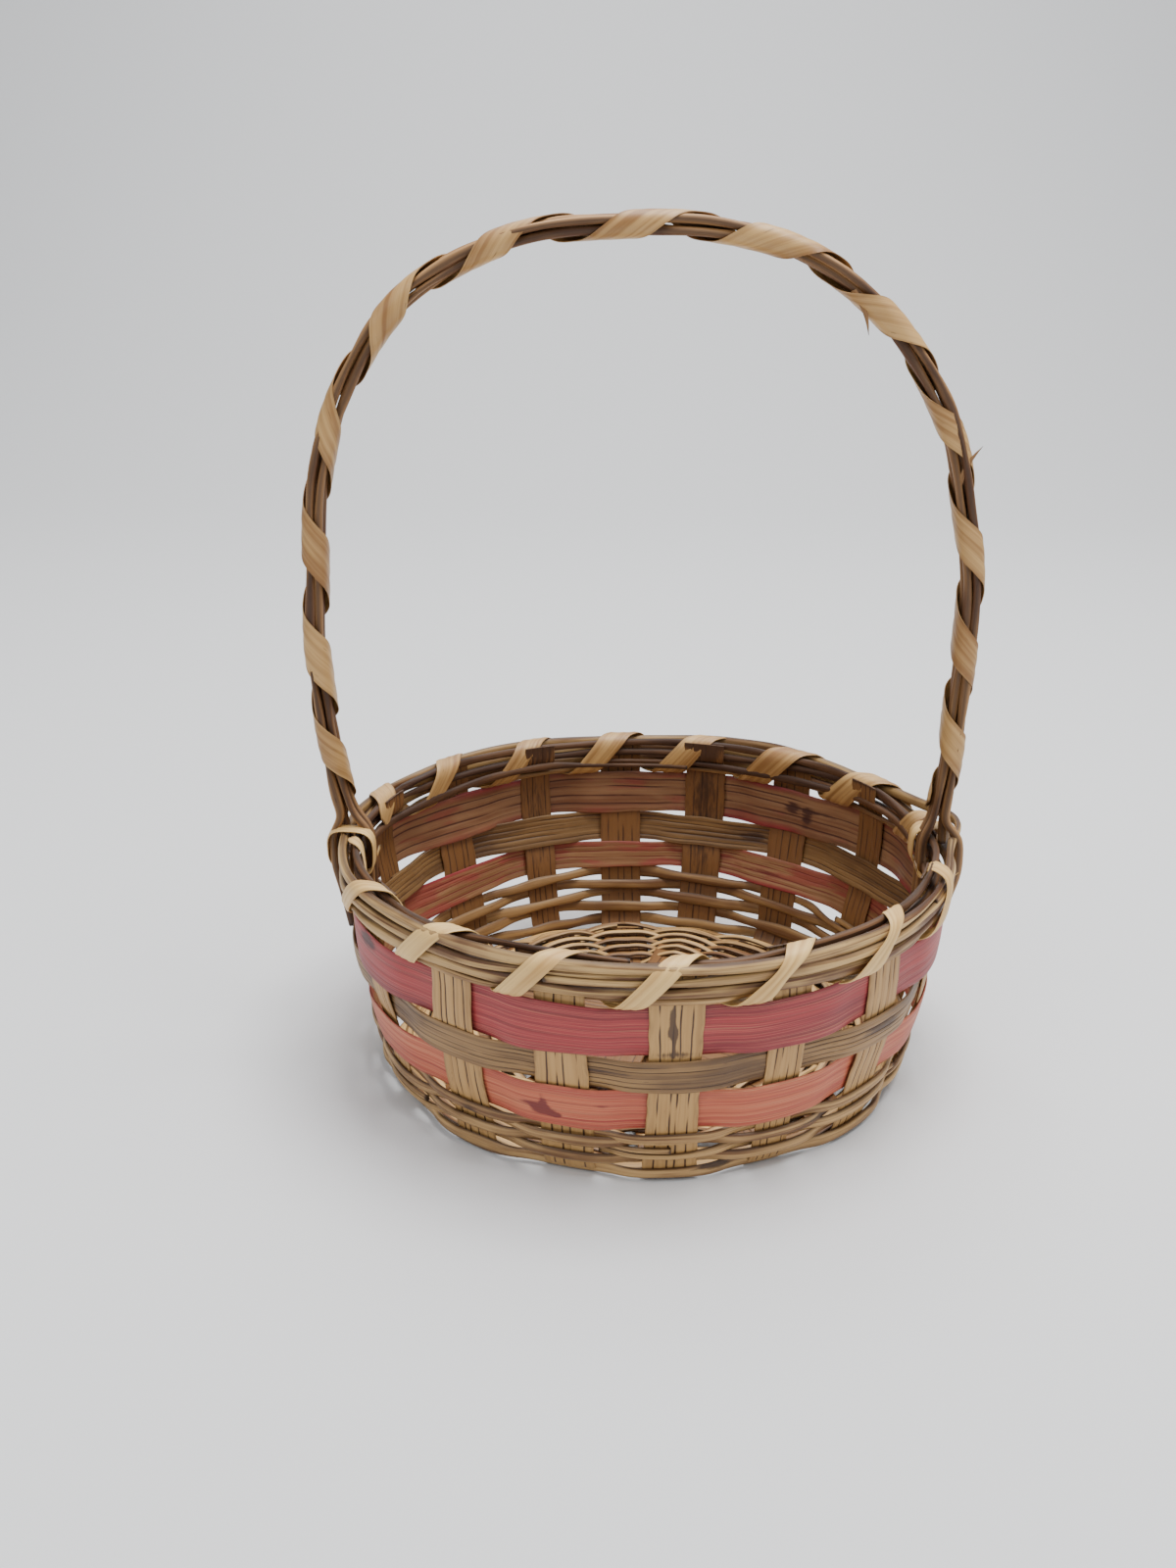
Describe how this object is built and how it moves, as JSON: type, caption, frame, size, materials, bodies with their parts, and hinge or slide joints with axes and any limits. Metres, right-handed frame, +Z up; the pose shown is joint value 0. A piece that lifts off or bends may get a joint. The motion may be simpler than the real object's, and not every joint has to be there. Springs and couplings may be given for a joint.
{
  "type": "round woven basket with hoop handle",
  "caption": "Round splint basket with flared wall, dyed and plain woven bands, a bound rod rim and a tall fixed hoop handle wrapped with strip.",
  "frame": {"origin": "on the floor, on the axis of the round basket", "axes": "+Z up out of the basket's mouth, X along the handle's span, -Y the front"},
  "size_m": [0.2534, 0.2426, 0.3204],
  "materials": {
    "stake_straw": "dry split cane, matt, scored lengthwise",
    "weaver_cane": "split cane rod, satin",
    "rim_cane": "split cane rod, satin, brown at the nodes",
    "handle_cane": "split cane rod, satin, brown",
    "salmon_splint": "dyed splint, satin, faded salmon",
    "natural_splint": "undyed splint, matt, weathered",
    "rose_splint": "dyed splint, satin, deep rose",
    "wrap_straw": "peeled cane strip, light sheen"
  },
  "bodies": {
    "root": {"stake_1": "stake_straw", "stake_2": "stake_straw", "stake_3": "stake_straw", "stake_4": "stake_straw", "stake_5": "stake_straw", "stake_6": "stake_straw", "stake_7": "stake_straw", "stake_8": "stake_straw", "base_weaver_1": "weaver_cane", "base_weaver_2": "weaver_cane", "base_weaver_3": "weaver_cane", "base_weaver_4": "weaver_cane", "base_weaver_5": "weaver_cane", "base_weaver_6": "weaver_cane", "base_weaver_7": "weaver_cane", "wall_weaver_1": "weaver_cane", "wall_weaver_2": "weaver_cane", "wall_weaver_3": "weaver_cane", "wall_weaver_4": "weaver_cane", "wall_weaver_5": "weaver_cane", "lower_dyed_band": "salmon_splint", "natural_band": "natural_splint", "upper_dyed_band": "rose_splint", "rim_weaver": "weaver_cane", "rim_outer_rod_1": "rim_cane", "rim_outer_rod_2": "rim_cane", "rim_outer_rod_3": "rim_cane", "rim_inner_rod_1": "rim_cane", "rim_inner_rod_2": "rim_cane", "rim_inner_rod_3": "rim_cane", "rim_wrap_front": "wrap_straw", "rim_wrap_back": "wrap_straw", "handle_outer_rod_1": "handle_cane", "handle_outer_rod_2": "handle_cane", "handle_outer_rod_3": "handle_cane", "handle_inner_rod_1": "handle_cane", "handle_inner_rod_2": "handle_cane", "handle_wrap": "wrap_straw", "handle_lashing_left": "wrap_straw", "handle_lashing_right": "wrap_straw"}
  },
  "joints": []
}
